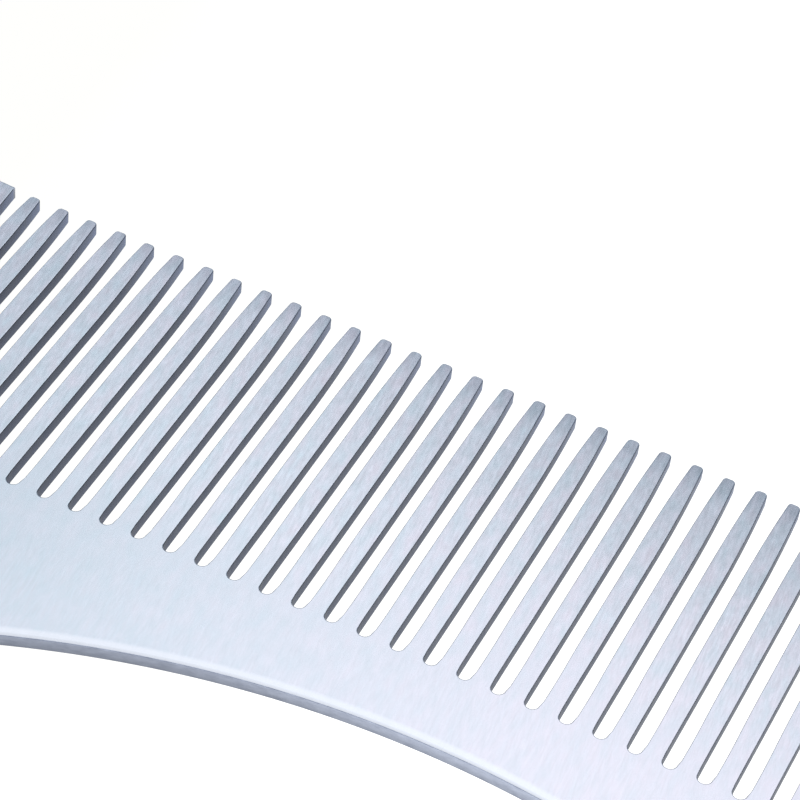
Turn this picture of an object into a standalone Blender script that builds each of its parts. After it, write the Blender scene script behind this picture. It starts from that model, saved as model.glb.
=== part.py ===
"""Flat steel cutting comb: straight tapered teeth, a wide guard at each end and a hollow back.

The comb lies on its face. X runs along the comb, Y points from the back to the tooth tips, Z is up,
and the origin is the centre of the underside's bounding rectangle. All lengths are in metres.
"""
import math

import bmesh
import bpy

# Driving dimensions
THICKNESS = 0.00128       # sheet that the comb is cut from
LENGTH = 0.130            # end to end
PITCH = 0.0028            # from one tooth to the next
TOOTH_COUNT = 41          # teeth between the two end guards
TOOTH_WIDTH = 0.00157     # below the taper
TOOTH_LENGTH = 0.0297     # from the tips to the bottom of the slots
TAPER_LENGTH = 0.0108     # the stretch below the tips in which a slot opens out
TAPER_INSET = 0.00029     # how far each wall of a slot has moved out at the tips
TIP_RADIUS = 0.00034      # rounding of the two corners of a tip
FOOT_HEIGHT = 0.00115     # above the bottom of a slot, where its walls start to close in
FOOT_FLARE = 0.00006      # how far each wall has closed in where the round bottom starts
GUARD_RISE = 0.00031      # how far the end guards stand above the tips
GUARD_CROWN = 0.00013     # how far a guard's top falls towards its inner corner
GUARD_CROWN_RUN = 0.004   # the stretch over which it falls
GUARD_SLOT = 0.00117      # the slot beside a guard
GUARD_CORNER = 0.002      # rounding of a guard's outer top corner
BACK_RADIUS = 0.0856      # radius of the hollow back
SPINE = 0.0069            # metal between the slots and the back, where it is narrowest
CORNER_RADIUS = 0.006     # rounding where the back meets the ends
RELIEF_WIDTH = 0.00095    # shallow relief along both edges of the back
RELIEF_DEPTH = 0.00005

# Facets of the round stretches
SLOT_END_STEPS = 8
TAPER_STEPS = 5
TIP_STEPS = 3
CROWN_STEPS = 3
CORNER_STEPS = 8
BACK_STEP_ANGLE = math.radians(2)

MERGE_DISTANCE = 0.00001
SMOOTH_ANGLE = math.radians(30)

# Places that follow from the dimensions, measured from the line through the tips
HOLLOW_Y = -(TOOTH_LENGTH + SPINE + BACK_RADIUS)
CORNER_X = LENGTH / 2 - CORNER_RADIUS
CORNER_Y = HOLLOW_Y + math.sqrt((BACK_RADIUS + CORNER_RADIUS) ** 2 - CORNER_X ** 2)
HEIGHT = GUARD_RISE - (CORNER_Y - CORNER_RADIUS)
TIP_Y = HEIGHT / 2 - GUARD_RISE
GUARD_X = (TOOTH_COUNT - 1) / 2 * PITCH + TOOTH_WIDTH / 2 + GUARD_SLOT


def clear_scene():
    """Remove every object of the scene that is open."""
    for item in list(bpy.data.objects):
        bpy.data.objects.remove(item, do_unlink=True)


def new_collection(name):
    """Add an empty collection to the scene."""
    group = bpy.data.collections.new(name)
    bpy.context.scene.collection.children.link(group)
    return group


def steel():
    """Plain brushed stainless steel."""
    material = bpy.data.materials.new("brushed_stainless_steel")
    material.use_nodes = True
    shader = material.node_tree.nodes["Principled BSDF"]
    shader.inputs["Base Color"].default_value = (0.62, 0.66, 0.72, 1)
    shader.inputs["Metallic"].default_value = 1.0
    shader.inputs["Roughness"].default_value = 0.38
    return material


def arc(x, y, radius, start, end, steps):
    """Points from one angle to another about (x, y), both ends included; angles in radians."""
    points = []
    for step in range(steps + 1):
        angle = start + (end - start) * step / steps
        points.append((x + radius * math.cos(angle), y + radius * math.sin(angle)))
    return points


def wall():
    """How far out a slot's wall stands and how high, from just below the tips down to its foot."""
    points = []
    for step in range(1, TAPER_STEPS + 1):
        left = 1 - step / TAPER_STEPS
        points.append((TAPER_INSET * left ** 2, -TAPER_LENGTH * step / TAPER_STEPS))
    points.append((0, FOOT_HEIGHT - TOOTH_LENGTH))
    return points


def flank(side):
    """A tooth's flank from its tip corner down to the foot of the slot, about the tooth's centre line."""
    foot = TOOTH_WIDTH / 2
    lean = math.atan(2 * TAPER_INSET / TAPER_LENGTH)
    corner_x = foot - TAPER_INSET - TIP_RADIUS
    corner = arc(corner_x, -TIP_RADIUS, TIP_RADIUS, math.pi / 2, lean, TIP_STEPS)
    straight = [(foot - inset, y) for inset, y in wall()]
    return [(side * x, y) for x, y in corner + straight]


def guard_side():
    """The inner side and crowned top of the right guard, from the foot of its slot to its level top."""
    points = [(GUARD_X + inset, y) for inset, y in reversed(wall())]
    corner_x = GUARD_X + TAPER_INSET
    for step in range(CROWN_STEPS + 1):
        share = step / CROWN_STEPS
        points.append((corner_x + GUARD_CROWN_RUN * share, GUARD_RISE - GUARD_CROWN * (1 - share) ** 2))
    return points


def slot_end(left_x, right_x):
    """The round bottom of a slot, from its left wall to its right wall."""
    radius = (right_x - left_x) / 2 - FOOT_FLARE
    return arc((left_x + right_x) / 2, radius - TOOTH_LENGTH, radius, math.pi, 2 * math.pi, SLOT_END_STEPS)


def toothed_edge():
    """The edge with the teeth, from the left guard's level top to the right guard's."""
    points = [(-x, y) for x, y in reversed(guard_side())]
    wall_x = -GUARD_X
    for number in range(TOOTH_COUNT):
        centre_x = (number - (TOOTH_COUNT - 1) / 2) * PITCH
        points += slot_end(wall_x, centre_x - TOOTH_WIDTH / 2)
        points += [(centre_x + x, y) for x, y in reversed(flank(-1))]
        points += [(centre_x + x, y) for x, y in flank(1)]
        wall_x = centre_x + TOOTH_WIDTH / 2
    points += slot_end(wall_x, GUARD_X)
    return points + guard_side()


def half_back():
    """The right half of the back, from the guard's outer corner to just before the middle."""
    top = GUARD_RISE - GUARD_CORNER
    points = arc(LENGTH / 2 - GUARD_CORNER, top, GUARD_CORNER, math.pi / 2, 0, CORNER_STEPS)
    tangent = math.atan2(CORNER_Y - HOLLOW_Y, CORNER_X)
    points += arc(CORNER_X, CORNER_Y, CORNER_RADIUS, 0, tangent - math.pi, 2 * CORNER_STEPS)
    steps = int((math.pi / 2 - tangent) / BACK_STEP_ANGLE)
    first = math.pi / 2 - steps * BACK_STEP_ANGLE
    points += arc(0, HOLLOW_Y, BACK_RADIUS, first, math.pi / 2 - BACK_STEP_ANGLE, steps - 1)
    return points


def outline():
    """The comb's whole outline, clockwise, with the tips on y = 0."""
    right = half_back()
    middle = [(0, HOLLOW_Y + BACK_RADIUS)]
    left = [(-x, y) for x, y in reversed(right)]
    return toothed_edge() + right + middle + left


def plate_curve(name):
    """The outline as a filled flat curve, as thick as the sheet."""
    curve = bpy.data.curves.new(name, "CURVE")
    curve.dimensions = "2D"
    curve.fill_mode = "BOTH"
    curve.extrude = THICKNESS / 2
    points = outline()
    spline = curve.splines.new("POLY")
    spline.points.add(len(points) - 1)
    for place, (x, y) in zip(spline.points, points):
        place.co = (x, y, 0, 1)
    spline.use_cyclic_u = True
    item = bpy.data.objects.new(name, curve)
    item.location = (0, TIP_Y, THICKNESS / 2)
    bpy.context.scene.collection.objects.link(item)
    return item


def as_mesh(curve_object, name, group):
    """Turn a curve object into a closed mesh object of the given collection."""
    bpy.context.view_layer.update()
    evaluated = curve_object.evaluated_get(bpy.context.evaluated_depsgraph_get())
    mesh = bpy.data.meshes.new_from_object(evaluated)
    mesh.name = name
    body = bmesh.new()
    body.from_mesh(mesh)
    bmesh.ops.remove_doubles(body, verts=body.verts, dist=MERGE_DISTANCE)
    bmesh.ops.recalc_face_normals(body, faces=body.faces)
    body.to_mesh(mesh)
    body.free()
    item = bpy.data.objects.new(name, mesh)
    item.matrix_world = curve_object.matrix_world.copy()
    group.objects.link(item)
    bpy.data.objects.remove(curve_object, do_unlink=True)
    return item


def relief_cutter(name, face_z, outward, group):
    """A cone about the back's centre that shaves the edge of the back on one face of the sheet."""
    low = face_z - outward * 2 * RELIEF_DEPTH
    high = face_z + outward * RELIEF_DEPTH
    inner = BACK_RADIUS - RELIEF_WIDTH
    outer = BACK_RADIUS + 2 * RELIEF_WIDTH
    segments = round(2 * math.pi / BACK_STEP_ANGLE)
    first, second = (inner, outer) if outward > 0 else (outer, inner)
    mesh = bpy.data.meshes.new(name)
    body = bmesh.new()
    bmesh.ops.create_cone(body, cap_ends=True, segments=segments, radius1=first, radius2=second,
                          depth=3 * RELIEF_DEPTH)
    body.to_mesh(mesh)
    body.free()
    item = bpy.data.objects.new(name, mesh)
    item.location = (0, TIP_Y + HOLLOW_Y, (low + high) / 2)
    item.hide_render = True
    item.display_type = "WIRE"
    group.objects.link(item)
    return item


def cut(item, cutter):
    """Take a cutter's shape away from an object."""
    modifier = item.modifiers.new(cutter.name, "BOOLEAN")
    modifier.operation = "DIFFERENCE"
    modifier.solver = "EXACT"
    modifier.object = cutter


def build():
    """Make the comb."""
    clear_scene()
    parts = new_collection("cutting_comb")
    cutters = new_collection("cutters")
    plate = as_mesh(plate_curve("plate_outline"), "comb_plate", parts)
    plate.data.materials.clear()
    plate.data.materials.append(steel())
    cut(plate, relief_cutter("upper_relief", THICKNESS, 1, cutters))
    cut(plate, relief_cutter("lower_relief", 0, -1, cutters))
    plate.data.shade_smooth()
    plate.data.set_sharp_from_angle(angle=SMOOTH_ANGLE)


build()
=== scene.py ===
"""Looks of the flat steel cutting comb: one finished surface for the sheet, its steel, light and camera."""
import math
import random

import bmesh
import bpy
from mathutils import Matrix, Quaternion, Vector


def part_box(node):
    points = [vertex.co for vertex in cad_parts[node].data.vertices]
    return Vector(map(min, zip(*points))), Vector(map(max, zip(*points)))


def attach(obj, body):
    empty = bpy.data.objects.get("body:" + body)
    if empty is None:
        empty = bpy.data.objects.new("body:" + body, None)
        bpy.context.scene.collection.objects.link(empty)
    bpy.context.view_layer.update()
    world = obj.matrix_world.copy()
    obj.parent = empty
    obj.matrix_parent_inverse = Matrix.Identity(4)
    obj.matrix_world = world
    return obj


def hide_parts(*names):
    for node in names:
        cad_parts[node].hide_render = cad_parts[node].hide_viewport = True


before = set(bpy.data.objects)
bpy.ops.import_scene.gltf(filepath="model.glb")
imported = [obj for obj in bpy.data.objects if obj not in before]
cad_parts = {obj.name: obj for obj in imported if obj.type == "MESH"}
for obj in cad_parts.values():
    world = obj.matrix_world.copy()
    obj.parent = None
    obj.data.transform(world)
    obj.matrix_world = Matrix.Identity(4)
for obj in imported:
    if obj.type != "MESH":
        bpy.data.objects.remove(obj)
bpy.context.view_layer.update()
LOW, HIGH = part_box("comb_plate")

# The comb's own dimensions, in metres
THICKNESS = HIGH.z - LOW.z
HALF_LENGTH = (HIGH.x - LOW.x) / 2
PITCH = 0.0028
TOOTH_COUNT = 41
TOOTH_WIDTH = 0.00157
TOOTH_LENGTH = 0.0297
FOOT_HEIGHT = 0.00115
FOOT_FLARES = (0.00005, 0.00011)
GUARD_RISE = 0.00031
GUARD_CROWN = 0.00013
GUARD_CROWN_RUN = 0.004
GUARD_SLOT = 0.00117
GUARD_CORNER = 0.002
BACK_RADIUS = 0.0856
SPINE = 0.0069
CORNER_RADIUS = 0.006
TIP_Y = HIGH.y - GUARD_RISE
GUARD_X = (TOOTH_COUNT - 1) / 2 * PITCH + TOOTH_WIDTH / 2 + GUARD_SLOT
HOLLOW_Y = TIP_Y - (TOOTH_LENGTH + SPINE + BACK_RADIUS)

# Flanks of a tooth. A taper is how far the flank has run in at the tip, and over what length. The waist is
# how much narrower a tooth is low down, how deep below the tip that is, and how far it spreads up and down.
LEFT_TAPER = (0.00023, 0.0100)
RIGHT_TAPER = (0.00034, 0.0105)
GUARD_TAPER = (0.00029, 0.0108)
WAIST = (0.00008, 0.0264, 0.0034)
WAIST_LEFT_SHARE = 1.0
WAIST_RIGHT_SHARE = 0.25

# Tips: their corners, how much one may differ from the next, and how far the face rolls down over a length
TIP_RADIUS = 0.00035
TIP_SPREAD = 0.00005
TIP_SEED = 11
TIP_ROLL = (0.00003, 0.0032)

# Finish of the edges: barely broken, but rounder on the last stretch of each tooth, round the slot ends
# and on the upper edge of the rim
EDGE_RADIUS = 0.00006
WORN_RADIUS = 0.00015
WORN_LENGTH = 0.005
FOOT_EDGE_RADIUS = 0.00012
FOOT_EDGE_HEIGHT = 0.0009
UPPER_RIM_RADIUS = 0.00019
LOWER_RIM_RADIUS = 0.00003

# Shallow relief along the hollow back: a ramp that eases in over a share of its width, drawn by rings at
# these distances from the outside, and faded out up the comb's ends between these heights
RELIEF_WIDTH = 0.00095
RELIEF_DEPTH = 0.00005
RELIEF_EASE = 0.3
RELIEF_RINGS = (0.0003, 0.00045, 0.0006, 0.00075, 0.00085, RELIEF_WIDTH)
RELIEF_FADE = (0.024, 0.034)

# Facets of the round stretches, and the depths below the tips at which a flank has a point
EDGE_STEPS = 4
SLOT_END_STEPS = 14
TIP_STEPS = 7
CROWN_STEPS = 8
GUARD_CORNER_STEPS = 12
GUARD_SIDE_STEPS = 12
CORNER_STEPS = 36
BACK_STEP_ANGLE = math.radians(0.8)
STATIONS = (0.0006, 0.0009, 0.0013, 0.0018, 0.0024, 0.0031, 0.004, 0.0051, 0.0063, 0.0077, 0.0092,
            0.0108, 0.0125, 0.0145, 0.0165, 0.0185, 0.0205, 0.0222, 0.0237, 0.025, 0.0262, 0.0273,
            0.0281, TOOTH_LENGTH - FOOT_HEIGHT)

# Camera, as the picture was taken: it aims at a point of the upper face left of the middle
AIM = Vector((-0.018424, TIP_Y - 0.005816, THICKNESS))
AZIMUTH = math.radians(21.818)
ELEVATION = math.radians(45.035)
ROLL = math.radians(6.4734)
DISTANCE = 0.259925
LENS = 144.38

# Light: a long softbox overhead, a dim room, and a table that glows, more strongly to the right and most
# of all there in a pool under the hollow back
SOFTBOX_PLACE = (0, -0.39, 0.6)
SOFTBOX_SIZE = (0.99, 1.9)
SOFTBOX_TURN = -0.107
SOFTBOX_COLOUR = (1.0, 0.948, 0.90)
SOFTBOX_RADIANCE = 0.96
ROOM_COLOUR = (0.335, 0.378, 0.435, 1)
TABLE_SIZE = 3
TABLE_GAP = 0.00005
TABLE_COLOUR = (1, 1, 0.985, 1)
TABLE_SPAN = (-0.06, 0.03)
TABLE_LIGHT = (1.0, 1.35)
POOL_SIDEWAYS = (-0.026, 0.002)
POOL_FORWARD = (0.003, -0.012)
POOL_GAIN = 1.42

# Brushing of the faces: how far its lines run off the teeth, anticlockwise, and how fine they are across
# and along (cells per metre)
GRAIN_TURN = math.radians(7)
FINE_LINES = (4600, 900, 1)
STREAKS = (2300, 480, 1)
CLOUDS = (900, 380, 1)
GRAIN_DETAIL = 2.0

# What the grain does: darkest and lightest it makes a face, how far its clouds swing from the cool to the
# warm colour, the roughness between its streaks, and its bumps (strength and height)
LINE_SHADE = (0.80, 1.20)
STREAK_SHADE = (0.78, 1.22)
CLOUD_SHADE = (0.985, 1.015)
CLOUD_SWING = 0.24
STREAK_ROUGHNESS = (0.225, 0.275)
ANISOTROPY = 0.6
LINE_BUMP = (0.12, 0.00001)

# How strongly it shows, against the tips: on the spine, from which it rises up to a share of the way down
# the teeth; on the polished band along the hollow back, whose lighter colour is a painted highlight; and on
# the teeth to the right of a stretch of X, where it is calm from the second to the third of four shares of
# the way down
SPINE_FINE = 0.2
SPINE_STREAK = 0.52
SPINE_HUE = 0.5
SPINE_RISE = 0.7
BAND_GRAIN = 0.3
CALM_SPAN = (-0.016, -0.006)
CALM_DEPTHS = (0.45, 0.72, 0.92, 1)
CALM_GRAIN = 0.62

# Colours of the faces, between which the clouds wander, and of the polished band, which is full up to a
# share of the relief's width; the band's lighter colour is a painted highlight on top of its polish
COOL_STEEL = (0.620, 0.720, 0.806)
WARM_STEEL = (0.704, 0.706, 0.800)
POLISHED_HIGHLIGHT_STEEL = (0.714, 0.76, 0.84)
BAND_FULL = 0.6

# Slow drifts over the faces: darker right at the edge of the hollow back; warmer to the right, a painted
# tint of the light; and a twist of painted light and shade, lighter and warmer where it is -1, which is -1
# at the tips on the left and the spine on the right, and 1 at the other two
BRIM_SPAN = (0.0001, 0.00034)
BRIM_GAIN = 0.8
WARM_SPAN = (-0.052, 0.008)
WARM_LIGHT_DRIFT = (-0.08, 0.22)
TWIST_SPAN = (-0.033, 0.006)
TWIST_LIGHT_GAIN = (1.04, 0.96)
TWIST_LIGHT_WARMTH = (0.12, -0.25)

# The cut walls. Their marks are drawn out where their scale is smallest: across the thickness in the slots,
# along the edge on the rim. Their dark tints are partly the darker cut finish and partly painted shade.
# Brightness goes to the brink's painted light above the brink, a share of the thickness; to the low painted
# light at the bottom; and to the tip's painted light towards the tips. These are painted light and shade:
# on the slot walls a darker top and a lighter bottom and tips, on the rim a painted highlight along the top
# and a darker bottom.
SLOT_WALL_LOOK = {"dark": (0.056, 0.069, 0.104), "light": (0.101, 0.121, 0.181),
                  "marks_scale": (2500, 2500, 700), "roughness": 0.5,
                  "brink": 0.87, "brink_painted_light": 0.2, "low_painted_light": 1.1, "tip_painted_light": 2.4}
RIM_LOOK = {"dark": (0.225, 0.25, 0.322), "light": (0.357, 0.39, 0.48),
            "marks_scale": (1000, 1000, 2600), "roughness": 0.42,
            "brink": 0.82, "brink_painted_light": 1.6, "low_painted_light": 0.66, "tip_painted_light": 1.0}
BRINK_END = 0.96
LOW_END = 0.7
LIGHT_TIP_LENGTH = 0.009
LIGHT_TIP_POWER = 2.5
WALL_ROUGHNESS_SPREAD = 0.05
WALL_BUMP = (0.2, 0.00002)

# Places of the colour sockets on Blender's Mix node
MIX_COLOURS = (6, 7)
MIX_RESULT = 2

# Material slots of the surface
FACE, SLOT_WALL, RIM = range(3)


def arc(x, y, radius, start, end, steps):
    """Points from one angle to another about (x, y), both ends included; angles in radians."""
    points = []
    for step in range(steps + 1):
        angle = start + (end - start) * step / steps
        points.append((x + radius * math.cos(angle), y + radius * math.sin(angle)))
    return points


def flank_inset(depth, taper, waist_share):
    """How far a flank stands in from the tooth's full width, at a depth below the tip."""
    inset, length = taper
    run_in = inset * max(0.0, 1 - depth / length) ** 2
    waist, place, spread = WAIST
    return run_in + waist * waist_share * math.exp(-((depth - place) / spread) ** 2)


def tooth(centre_x, chance):
    """A tooth's outline: left flank going up, the tip's corners, right flank going down."""
    tip_y = TIP_Y + chance.uniform(-1, 0.6) * TIP_SPREAD
    lean = chance.uniform(-1, 1) * TIP_SPREAD * 0.5
    sides = []
    for side, taper, waist_share in ((-1, LEFT_TAPER, WAIST_LEFT_SHARE),
                                     (1, RIGHT_TAPER, WAIST_RIGHT_SHARE)):
        inset = taper[0] + chance.uniform(-0.5, 0.5) * TIP_SPREAD
        radius = TIP_RADIUS + chance.uniform(-1, 1) * TIP_SPREAD
        slope = 2 * inset / taper[1]
        flank = []
        for depth in STATIONS:
            inner = flank_inset(depth, (inset, taper[1]), waist_share)
            shift = lean * max(0.0, 1 - depth / taper[1]) ** 2
            flank.append((centre_x + side * (TOOTH_WIDTH / 2 - inner) + shift, TIP_Y - depth))
        corner_x = TOOTH_WIDTH / 2 - inset * (1 - radius / taper[1]) ** 2 - radius
        corner = arc(0, tip_y - radius, radius, math.atan(slope), math.pi / 2, TIP_STEPS)
        corner = [(centre_x + side * (corner_x + x) + lean, y) for x, y in corner]
        sides.append((flank, corner))
    (left, left_corner), (right, right_corner) = sides
    return left[::-1], left_corner + right_corner[::-1], right


def slot_end(left_x, right_x):
    """The round bottom of a slot between two walls, which close in a little before it."""
    left_x += FOOT_FLARES[0]
    right_x -= FOOT_FLARES[1]
    radius = (right_x - left_x) / 2
    return arc((left_x + right_x) / 2, TIP_Y - TOOTH_LENGTH + radius, radius, math.pi, 2 * math.pi,
               SLOT_END_STEPS)


def guard_corner_x(depth):
    """Place of the right guard's inner side at a depth below the tips."""
    return GUARD_X + flank_inset(depth, GUARD_TAPER, 0)


def guard_side():
    """The inner side of the right guard, from its foot up to just below its corner."""
    corner_depth = GUARD_CROWN - GUARD_RISE
    depths = list(STATIONS[:1:-1]) + [corner_depth + ring for ring in RELIEF_RINGS[::-1]]
    return [(guard_corner_x(depth), TIP_Y - depth) for depth in depths]


def contour():
    """The comb's outside from the right guard's inner corner round the back to the middle."""
    corner_x = HALF_LENGTH - CORNER_RADIUS
    corner_y = HOLLOW_Y + math.sqrt((BACK_RADIUS + CORNER_RADIUS) ** 2 - corner_x ** 2)
    tangent = math.atan2(corner_y - HOLLOW_Y, corner_x)
    top_end = HALF_LENGTH - GUARD_CORNER
    top_start = guard_corner_x(GUARD_CROWN - GUARD_RISE)
    points = []
    for step in range(CROWN_STEPS + 1):
        share = step / CROWN_STEPS
        points.append((top_start + GUARD_CROWN_RUN * share, HIGH.y - GUARD_CROWN * (1 - share) ** 2))
    side_top = HIGH.y - GUARD_CORNER
    points += arc(top_end, side_top, GUARD_CORNER, math.pi / 2, 0, GUARD_CORNER_STEPS)
    for step in range(1, GUARD_SIDE_STEPS):
        points.append((HALF_LENGTH, side_top + (corner_y - side_top) * step / GUARD_SIDE_STEPS))
    points += arc(corner_x, corner_y, CORNER_RADIUS, 0, tangent - math.pi, CORNER_STEPS)
    steps = round((math.pi / 2 - tangent) / BACK_STEP_ANGLE)
    points += arc(0, HOLLOW_Y, BACK_RADIUS, tangent, math.pi / 2, steps)[1:]
    return points


def mirrored(points):
    """The same points on the other side of the middle, in the opposite order."""
    return [(-x, y) for x, y in reversed(points)]


def relief(depth):
    """Drop of the face, and its slope, at a distance from the outside: flat, then a shallow ramp."""
    share = max(0.0, 1 - depth / RELIEF_WIDTH)
    scale = RELIEF_DEPTH / (1 - RELIEF_EASE / 2)
    if share < RELIEF_EASE:
        return scale * share ** 2 / (2 * RELIEF_EASE), scale / RELIEF_WIDTH * share / RELIEF_EASE
    return scale * (share - RELIEF_EASE / 2), scale / RELIEF_WIDTH


def relief_share(y):
    """How much of the relief a place has: all of it along the hollow back, none at the guards' tops."""
    near, far = RELIEF_FADE
    share = min(1.0, max(0.0, (LOW.y + far - y) / (far - near)))
    return share ** 2 * (3 - 2 * share)


def on_guard(point):
    """Whether a point of the outline belongs to an end guard rather than a tooth."""
    return abs(point.x) > GUARD_X - EDGE_RADIUS


def tip_roll(y):
    """Drop of the face towards a tooth's tip, and its slope."""
    drop, length = TIP_ROLL
    share = min(1.0, max(0.0, 1 - (TIP_Y - y) / length))
    return drop * share ** 2, 2 * drop / length * share


class Sheet:
    """The comb's surface: an outline with rounded edges, and the two faces that it encloses."""

    def __init__(self):
        self.loop = []
        self.roles = []
        self.body = bmesh.new()
        self.normals = []

    def run(self, points, role):
        """Add a stretch of outline, and return the numbers of its points."""
        first = len(self.loop)
        self.loop += [Vector(point) for point in points]
        self.roles += [role] * len(points)
        return list(range(first, len(self.loop)))

    def trace(self):
        """Lay out the whole outline, clockwise."""
        chance = random.Random(TIP_SEED)
        guard = guard_side()
        self.left_guard = self.run(mirrored(guard), SLOT_WALL)
        self.teeth = []
        self.ends = []
        wall_x = -GUARD_X
        for number in range(TOOTH_COUNT):
            centre_x = (number - (TOOTH_COUNT - 1) / 2) * PITCH
            left, cap, right = tooth(centre_x, chance)
            self.ends.append(self.run(slot_end(wall_x, left[0][0]), SLOT_WALL))
            self.teeth.append([self.run(points, SLOT_WALL) for points in (left, cap, right)])
            wall_x = right[-1][0]
        self.ends.append(self.run(slot_end(wall_x, GUARD_X), SLOT_WALL))
        self.right_guard = self.run(guard, SLOT_WALL)
        half = contour()
        self.outside = self.run(half + mirrored(half)[1:], RIM)

    def measure(self):
        """Inward directions of the outline's points, mitred so that offsets stay parallel."""
        self.inward = []
        count = len(self.loop)
        for place in range(count):
            before = (self.loop[place] - self.loop[place - 1]).normalized()
            after = (self.loop[(place + 1) % count] - self.loop[place]).normalized()
            first, second = Vector((before.y, -before.x)), Vector((after.y, -after.x))
            self.inward.append((first + second) / (1 + first.dot(second)))

    def vert(self, point, z, normal):
        """Add a point of the surface, with the normal that it is shaded by."""
        self.normals.append(normal.normalized())
        return self.body.verts.new((point.x, point.y, z))

    def edge_radius(self, place, side):
        """Radius of the broken edge at an outline point of the upper (1) or lower (-1) face."""
        point = self.loop[place]
        if self.roles[place] == RIM:
            return UPPER_RIM_RADIUS if side > 0 else LOWER_RIM_RADIUS
        if on_guard(point):
            return EDGE_RADIUS
        worn = min(1.0, max(0.0, 1 - (TIP_Y - point.y) / WORN_LENGTH)) ** 2
        foot = min(1.0, max(0.0, 1 - (point.y - TIP_Y + TOOTH_LENGTH) / FOOT_EDGE_HEIGHT))
        return (EDGE_RADIUS + (WORN_RADIUS - EDGE_RADIUS) * worn
                + (FOOT_EDGE_RADIUS - EDGE_RADIUS) * foot)

    def face_drop(self, place, radius):
        """Drop of the face where an edge of some radius starts, and the sideways part of its normal."""
        point = self.loop[place] + self.inward[place] * radius
        if self.roles[place] == RIM:
            drop, slope = relief(radius)
            share = relief_share(point.y)
            return drop * share, -self.inward[place].normalized() * slope * share
        if on_guard(point):
            return 0.0, Vector((0, 0))
        drop, slope = tip_roll(point.y)
        return drop, Vector((0, slope))

    def level(self, side, drop):
        """Height of a point that lies a drop inside the upper (1) or lower (-1) face."""
        return (LOW.z + HIGH.z) / 2 + side * (THICKNESS / 2 - drop)

    def edge(self, side):
        """Points of the rounded edge of one face: rings from the face to the wall."""
        rings = []
        for step in range(EDGE_STEPS + 1):
            angle = math.pi / 2 * step / EDGE_STEPS
            ring = []
            for place, point in enumerate(self.loop):
                radius = self.edge_radius(place, side)
                offset = radius * (1 - math.sin(angle))
                fall = radius * (1 - math.cos(angle))
                drop, tilt = self.face_drop(place, radius)
                flat = Vector((tilt.x, tilt.y, side))
                outward = (-self.inward[place].normalized()).to_3d()
                normal = flat.normalized() * math.cos(angle) + outward * math.sin(angle)
                ring.append(self.vert(point + self.inward[place] * offset,
                                      self.level(side, drop + fall), normal))
            rings.append(ring)
        return rings

    def polygon(self, corners, side, material):
        """Add a face whose corners run clockwise as seen on the upper side."""
        face = self.body.faces.new(corners[::-1] if side > 0 else corners)
        face.material_index = material
        face.smooth = True

    def tooth_faces(self, side, brim):
        """Fill one face of the teeth, inside the innermost edge ring."""
        for left, cap, right in self.teeth:
            self.polygon([brim[left[-1]]] + [brim[place] for place in cap] + [brim[right[0]]],
                         side, FACE)
            for step in range(len(right) - 1):
                low_left, high_left = brim[left[-2 - step]], brim[left[-1 - step]]
                self.polygon([low_left, high_left, brim[right[step]], brim[right[step + 1]]], side, FACE)

    def relief_faces(self, side, brim):
        """Fill the relief along the outside of one face, and return its innermost ring."""
        outer = [brim[place] for place in self.outside]
        for number, depth in enumerate(RELIEF_RINGS):
            drop, slope = relief(depth)
            inner = [brim[self.right_guard[-1 - number]]]
            for place in self.outside[1:-1]:
                share = relief_share(self.loop[place].y)
                outward = -self.inward[place].normalized()
                normal = (outward * slope * share).to_3d() + Vector((0, 0, side))
                inner.append(self.vert(self.loop[place] + self.inward[place] * depth,
                                       self.level(side, drop * share), normal))
            inner.append(brim[self.left_guard[number]])
            for step in range(len(outer) - 1):
                self.polygon([outer[step], outer[step + 1], inner[step + 1], inner[step]], side, FACE)
            outer = inner
        return outer

    def face(self, side, brim):
        """Fill one face of the sheet inside its innermost edge ring."""
        self.tooth_faces(side, brim)
        relief_ring = self.relief_faces(side, brim)
        count = len(RELIEF_RINGS)
        middle = [brim[place] for place in self.left_guard[count - 1:]]
        for number, end in enumerate(self.ends):
            middle += [brim[place] for place in end]
            if number < TOOTH_COUNT:
                left, _, right = self.teeth[number]
                middle += [brim[left[0]], brim[right[-1]]]
        middle += [brim[place] for place in self.right_guard[:-count]]
        self.polygon(middle + relief_ring[:-1], side, FACE)

    def build(self):
        """Make the closed mesh."""
        self.trace()
        self.measure()
        upper, lower = self.edge(1), self.edge(-1)
        count = len(self.loop)
        for side, rings in ((1, upper), (-1, lower)):
            self.face(side, rings[0])
            for step in range(EDGE_STEPS):
                outer, inner = rings[step + 1], rings[step]
                for place in range(count):
                    after = (place + 1) % count
                    material = FACE if side > 0 and step < EDGE_STEPS / 2 else self.roles[place]
                    self.polygon([outer[place], outer[after], inner[after], inner[place]], side, material)
        for place in range(count):
            after = (place + 1) % count
            self.polygon([lower[-1][place], lower[-1][after], upper[-1][after], upper[-1][place]],
                         1, self.roles[place])
        mesh = bpy.data.meshes.new("comb_surface")
        self.body.to_mesh(mesh)
        self.body.free()
        mesh.normals_split_custom_set_from_vertices(self.normals)
        return mesh


def add_node(tree, kind, **inputs):
    """Add a shader node and set its inputs."""
    node = tree.nodes.new(kind)
    for name, value in inputs.items():
        node.inputs[name.replace("_", " ")].default_value = value
    return node


def new_material(name):
    """A material with an empty Principled shader; returns the material, its tree and the shader."""
    material = bpy.data.materials.new(name)
    material.use_nodes = True
    tree = material.node_tree
    return material, tree, tree.nodes["Principled BSDF"]


def object_point(tree):
    """Place on the object, in metres."""
    return tree.nodes.new("ShaderNodeTexCoord").outputs["Object"]


def object_axis(tree, axis):
    """One coordinate of the place on the object."""
    split = tree.nodes.new("ShaderNodeSeparateXYZ")
    tree.links.new(object_point(tree), split.inputs["Vector"])
    return split.outputs[axis]


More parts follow.
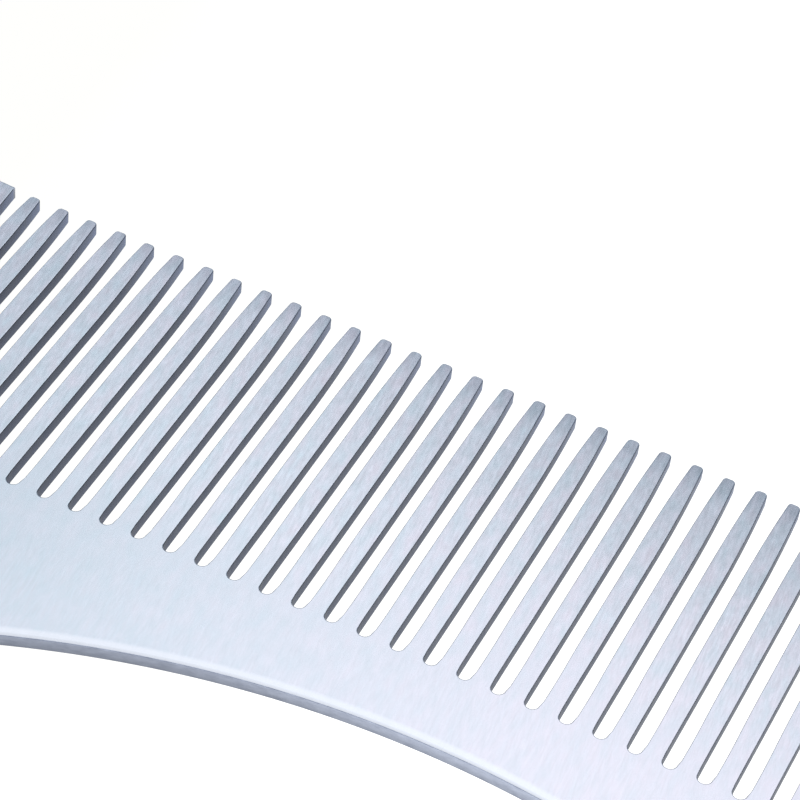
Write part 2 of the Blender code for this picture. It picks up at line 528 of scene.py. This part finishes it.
def grain(tree, turn, stretch, detail=3.0):
    """Noise drawn out along a direction of the object: a grain, from 0 to 1."""
    turned = tree.nodes.new("ShaderNodeMapping")
    turned.inputs["Rotation"].default_value = (0, 0, turn)
    drawn = tree.nodes.new("ShaderNodeMapping")
    drawn.inputs["Scale"].default_value = stretch
    noise = add_node(tree, "ShaderNodeTexNoise", Scale=1.0, Detail=detail, Roughness=0.6)
    tree.links.new(object_point(tree), turned.inputs["Vector"])
    tree.links.new(turned.outputs["Vector"], drawn.inputs["Vector"])
    tree.links.new(drawn.outputs["Vector"], noise.inputs["Vector"])
    return noise.outputs["Fac"]


def remap(tree, value, low, high, to_low, to_high, smooth=False):
    """Carry a value from one range to another."""
    node = tree.nodes.new("ShaderNodeMapRange")
    node.interpolation_type = "SMOOTHSTEP" if smooth else "LINEAR"
    node.inputs["From Min"].default_value = low
    node.inputs["From Max"].default_value = high
    node.inputs["To Min"].default_value = to_low
    node.inputs["To Max"].default_value = to_high
    tree.links.new(value, node.inputs["Value"])
    return node.outputs["Result"]


def multiply(tree, *values):
    """Product of values."""
    product = values[0]
    for value in values[1:]:
        node = tree.nodes.new("ShaderNodeMath")
        node.operation = "MULTIPLY"
        tree.links.new(product, node.inputs[0])
        tree.links.new(value, node.inputs[1])
        product = node.outputs["Value"]
    return product


def add(tree, first, second):
    """Sum of two values."""
    node = tree.nodes.new("ShaderNodeMath")
    node.operation = "ADD"
    tree.links.new(first, node.inputs[0])
    tree.links.new(second, node.inputs[1])
    return node.outputs["Value"]


def power(tree, value, exponent):
    """A value raised to a power."""
    node = tree.nodes.new("ShaderNodeMath")
    node.operation = "POWER"
    node.inputs[1].default_value = exponent
    tree.links.new(value, node.inputs[0])
    return node.outputs["Value"]


def mix(tree, share, first, second):
    """Blend two colours, each of them fixed or a socket's."""
    node = tree.nodes.new("ShaderNodeMix")
    node.data_type = "RGBA"
    tree.links.new(share, node.inputs["Factor"])
    for place, colour in zip(MIX_COLOURS, (first, second)):
        if isinstance(colour, bpy.types.NodeSocket):
            tree.links.new(colour, node.inputs[place])
        else:
            node.inputs[place].default_value = (*colour, 1)
    return node.outputs[MIX_RESULT]


def swing(tree, value, depth):
    """A noise value's swing about 0, which is wider where the depth is larger."""
    centred = tree.nodes.new("ShaderNodeMath")
    centred.operation = "SUBTRACT"
    centred.inputs[1].default_value = 0.5
    tree.links.new(value, centred.inputs[0])
    return multiply(tree, centred.outputs["Value"], depth)


def scale_colour(tree, colour, value):
    """A colour made lighter or darker by a value."""
    node = tree.nodes.new("ShaderNodeVectorMath")
    node.operation = "SCALE"
    tree.links.new(colour, node.inputs["Vector"])
    tree.links.new(value, node.inputs["Scale"])
    return node.outputs["Vector"]


def add_bump(tree, shader, height, strength, distance):
    """Give a shader fine bumps, whose full height in metres is the distance."""
    bump = add_node(tree, "ShaderNodeBump", Strength=strength, Distance=distance)
    tree.links.new(height, bump.inputs["Height"])
    tree.links.new(bump.outputs["Normal"], shader.inputs["Normal"])


def back_reach(tree):
    """Distance from the centre of the hollow back, along the sheet."""
    flat = tree.nodes.new("ShaderNodeVectorMath")
    flat.operation = "MULTIPLY"
    flat.inputs[1].default_value = (1, 1, 0)
    reach = tree.nodes.new("ShaderNodeVectorMath")
    reach.operation = "DISTANCE"
    reach.inputs[1].default_value = (0, HOLLOW_Y, 0)
    tree.links.new(object_point(tree), flat.inputs[0])
    tree.links.new(flat.outputs["Vector"], reach.inputs[0])
    return reach.outputs["Value"]


def down_teeth(tree, forward, start, end, to_start, to_end):
    """A ramp between two depths, given as shares of the way from the tips to the bottom of the slots."""
    return remap(tree, forward, TIP_Y - start * TOOTH_LENGTH, TIP_Y - end * TOOTH_LENGTH, to_start, to_end)


def grain_depths(tree, sideways, forward, band):
    """How strongly the fine lines, the streaks and the clouds' hue show at each place of a face."""
    polish = remap(tree, band, 0, 1, 1, BAND_GRAIN)
    calm_start, calm_full, calm_leave, calm_end = CALM_DEPTHS
    low_teeth = multiply(tree, remap(tree, sideways, *CALM_SPAN, 0, 1),
                         down_teeth(tree, forward, calm_start, calm_full, 0, 1),
                         down_teeth(tree, forward, calm_end, calm_leave, 0, 1))
    calm = multiply(tree, polish, remap(tree, low_teeth, 0, 1, 1, CALM_GRAIN))
    depths = []
    for quiet, spine in ((calm, SPINE_FINE), (calm, SPINE_STREAK), (polish, SPINE_HUE)):
        depths.append(multiply(tree, quiet, down_teeth(tree, forward, 1, SPINE_RISE, spine, 1)))
    return depths


def brushed_steel():
    """The two faces: grain a little off the teeth, faint clouds of hue, slow drifts, most of them painted
    light and shade, a polished band painted lighter as a highlight.
    """
    material, tree, shader = new_material("brushed_stainless_steel")
    fine = grain(tree, -GRAIN_TURN, FINE_LINES, GRAIN_DETAIL)
    streak = grain(tree, -GRAIN_TURN, STREAKS, GRAIN_DETAIL)
    cloud = grain(tree, -GRAIN_TURN, CLOUDS, GRAIN_DETAIL)
    reach = back_reach(tree)
    band = remap(tree, reach, BACK_RADIUS + RELIEF_WIDTH, BACK_RADIUS + BAND_FULL * RELIEF_WIDTH, 0, 1,
                 smooth=True)
    brim = remap(tree, reach, BACK_RADIUS + BRIM_SPAN[0], BACK_RADIUS + BRIM_SPAN[1], BRIM_GAIN, 1)
    sideways, forward = object_axis(tree, "X"), object_axis(tree, "Y")
    # Painted light and shade: the twist makes the left tips and the right of the spine lighter and warmer
    twist = multiply(tree, remap(tree, sideways, *TWIST_SPAN, -1, 1),
                     down_teeth(tree, forward, 1, 0, -1, 1))
    fine_depth, streak_depth, hue_depth = grain_depths(tree, sideways, forward, band)
    lines = swing(tree, fine, fine_depth)

    # The clouds' hue is the steel's own; the drift to the right and the twist's warmth are a painted tint
    # of the light
    warmth = add(tree, remap(tree, swing(tree, cloud, hue_depth), -CLOUD_SWING, CLOUD_SWING, 0, 1),
                 remap(tree, sideways, *WARM_SPAN, *WARM_LIGHT_DRIFT))
    warmth = add(tree, warmth, remap(tree, twist, -1, 1, *TWIST_LIGHT_WARMTH))
    # The polished band's lighter colour is a painted highlight
    hue = mix(tree, band, mix(tree, warmth, COOL_STEEL, WARM_STEEL), POLISHED_HIGHLIGHT_STEEL)
    shade = multiply(tree, brim, remap(tree, cloud, 0.3, 0.7, *CLOUD_SHADE),
                     remap(tree, twist, -1, 1, *TWIST_LIGHT_GAIN),
                     remap(tree, lines, -0.5, 0.5, *LINE_SHADE),
                     remap(tree, swing(tree, streak, streak_depth), -0.5, 0.5, *STREAK_SHADE))
    tree.links.new(scale_colour(tree, hue, shade), shader.inputs["Base Color"])

    shader.inputs["Metallic"].default_value = 1.0
    tree.links.new(remap(tree, streak, 0.25, 0.75, *STREAK_ROUGHNESS), shader.inputs["Roughness"])
    shader.inputs["Anisotropic"].default_value = ANISOTROPY
    shader.inputs["Anisotropic Rotation"].default_value = 0.25 + GRAIN_TURN / (2 * math.pi)
    across = tree.nodes.new("ShaderNodeTangent")
    across.direction_type = "RADIAL"
    across.axis = "X"
    tree.links.new(across.outputs["Tangent"], shader.inputs["Tangent"])
    add_bump(tree, shader, lines, *LINE_BUMP)
    return material


def cut_edge(name, look):
    """A cut wall of the sheet, with fine marks, a dark tint that is partly painted shade, and painted light
    and shade along its depth and height.
    """
    material, tree, shader = new_material(name)
    marks = remap(tree, grain(tree, 0, look["marks_scale"]), 0.25, 0.75, 0, 1)
    near_tip = power(tree, remap(tree, object_axis(tree, "Y"), TIP_Y - LIGHT_TIP_LENGTH, TIP_Y, 0, 1),
                     LIGHT_TIP_POWER)
    height = object_axis(tree, "Z")
    # Painted light and shade along the wall's height and towards the tips
    gain = multiply(tree, remap(tree, near_tip, 0, 1, 1.0, look["tip_painted_light"]),
                    remap(tree, height, look["brink"] * THICKNESS, BRINK_END * THICKNESS,
                          1.0, look["brink_painted_light"]),
                    remap(tree, height, 0, LOW_END * THICKNESS, look["low_painted_light"], 1.0))
    # The dark tints are partly the darker cut finish and partly painted shade
    tint = mix(tree, marks, look["dark"], look["light"])
    tree.links.new(scale_colour(tree, tint, gain), shader.inputs["Base Color"])
    shader.inputs["Metallic"].default_value = 1.0
    smoothest = look["roughness"] - WALL_ROUGHNESS_SPREAD
    roughest = look["roughness"] + WALL_ROUGHNESS_SPREAD
    tree.links.new(remap(tree, marks, 0.2, 0.8, smoothest, roughest), shader.inputs["Roughness"])
    add_bump(tree, shader, marks, *WALL_BUMP)
    return material


def make_comb():
    """The finished comb, in the place of its plain CAD node."""
    item = bpy.data.objects.new("comb_surface", Sheet().build())
    bpy.context.scene.collection.objects.link(item)
    item.data.materials.append(brushed_steel())
    item.data.materials.append(cut_edge("slot_wall_steel", SLOT_WALL_LOOK))
    item.data.materials.append(cut_edge("rim_steel", RIM_LOOK))
    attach(item, "root")
    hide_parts("comb_plate")


def make_floor():
    """A white table that is lit from within, so that nothing on it throws a shadow."""
    bpy.ops.mesh.primitive_plane_add(size=TABLE_SIZE, location=(0, 0, LOW.z - TABLE_GAP))
    floor = bpy.context.object
    floor.name = "floor"
    material = bpy.data.materials.new("lit_white_table")
    material.use_nodes = True
    tree = material.node_tree
    tree.nodes.remove(tree.nodes["Principled BSDF"])
    glow = add_node(tree, "ShaderNodeEmission", Color=TABLE_COLOUR)
    sideways, forward = object_axis(tree, "X"), object_axis(tree, "Y")
    rise = remap(tree, sideways, *TABLE_SPAN, *TABLE_LIGHT)
    pool = multiply(tree, remap(tree, sideways, *POOL_SIDEWAYS, 0, 1, smooth=True),
                    remap(tree, forward, *POOL_FORWARD, 0, 1, smooth=True))
    tree.links.new(multiply(tree, rise, remap(tree, pool, 0, 1, 1, POOL_GAIN)), glow.inputs["Strength"])
    tree.links.new(glow.outputs["Emission"], tree.nodes["Material Output"].inputs["Surface"])
    floor.data.materials.append(material)


def make_light():
    """One long overhead softbox, which reaches back over the camera, and a dim room."""
    data = bpy.data.lights.new("softbox", "AREA")
    data.shape = "RECTANGLE"
    data.size, data.size_y = SOFTBOX_SIZE
    data.color = SOFTBOX_COLOUR
    data.energy = SOFTBOX_RADIANCE * math.pi * data.size * data.size_y
    lamp = bpy.data.objects.new("softbox", data)
    lamp.location = SOFTBOX_PLACE
    lamp.rotation_euler = (0, 0, SOFTBOX_TURN)
    bpy.context.scene.collection.objects.link(lamp)
    world = bpy.data.worlds.new("room")
    world.use_nodes = True
    sky = world.node_tree.nodes["Background"]
    sky.inputs["Color"].default_value = ROOM_COLOUR
    sky.inputs["Strength"].default_value = 1.0
    bpy.context.scene.world = world


def make_camera():
    """The camera, where the photographer stood."""
    data = bpy.data.cameras.new("camera")
    data.lens = LENS
    data.sensor_width = 36
    data.clip_start = 0.01
    camera = bpy.data.objects.new("camera", data)
    back = Vector((math.sin(AZIMUTH) * math.cos(ELEVATION), -math.cos(AZIMUTH) * math.cos(ELEVATION),
                   math.sin(ELEVATION)))
    camera.location = AIM + back * DISTANCE
    camera.rotation_mode = "QUATERNION"
    camera.rotation_quaternion = (-back).to_track_quat("-Z", "Y") @ Quaternion((0, 0, 1), ROLL)
    bpy.context.scene.collection.objects.link(camera)
    bpy.context.scene.camera = camera


make_comb()
make_floor()
make_light()
make_camera()
bpy.context.scene.view_settings.view_transform = "Standard"
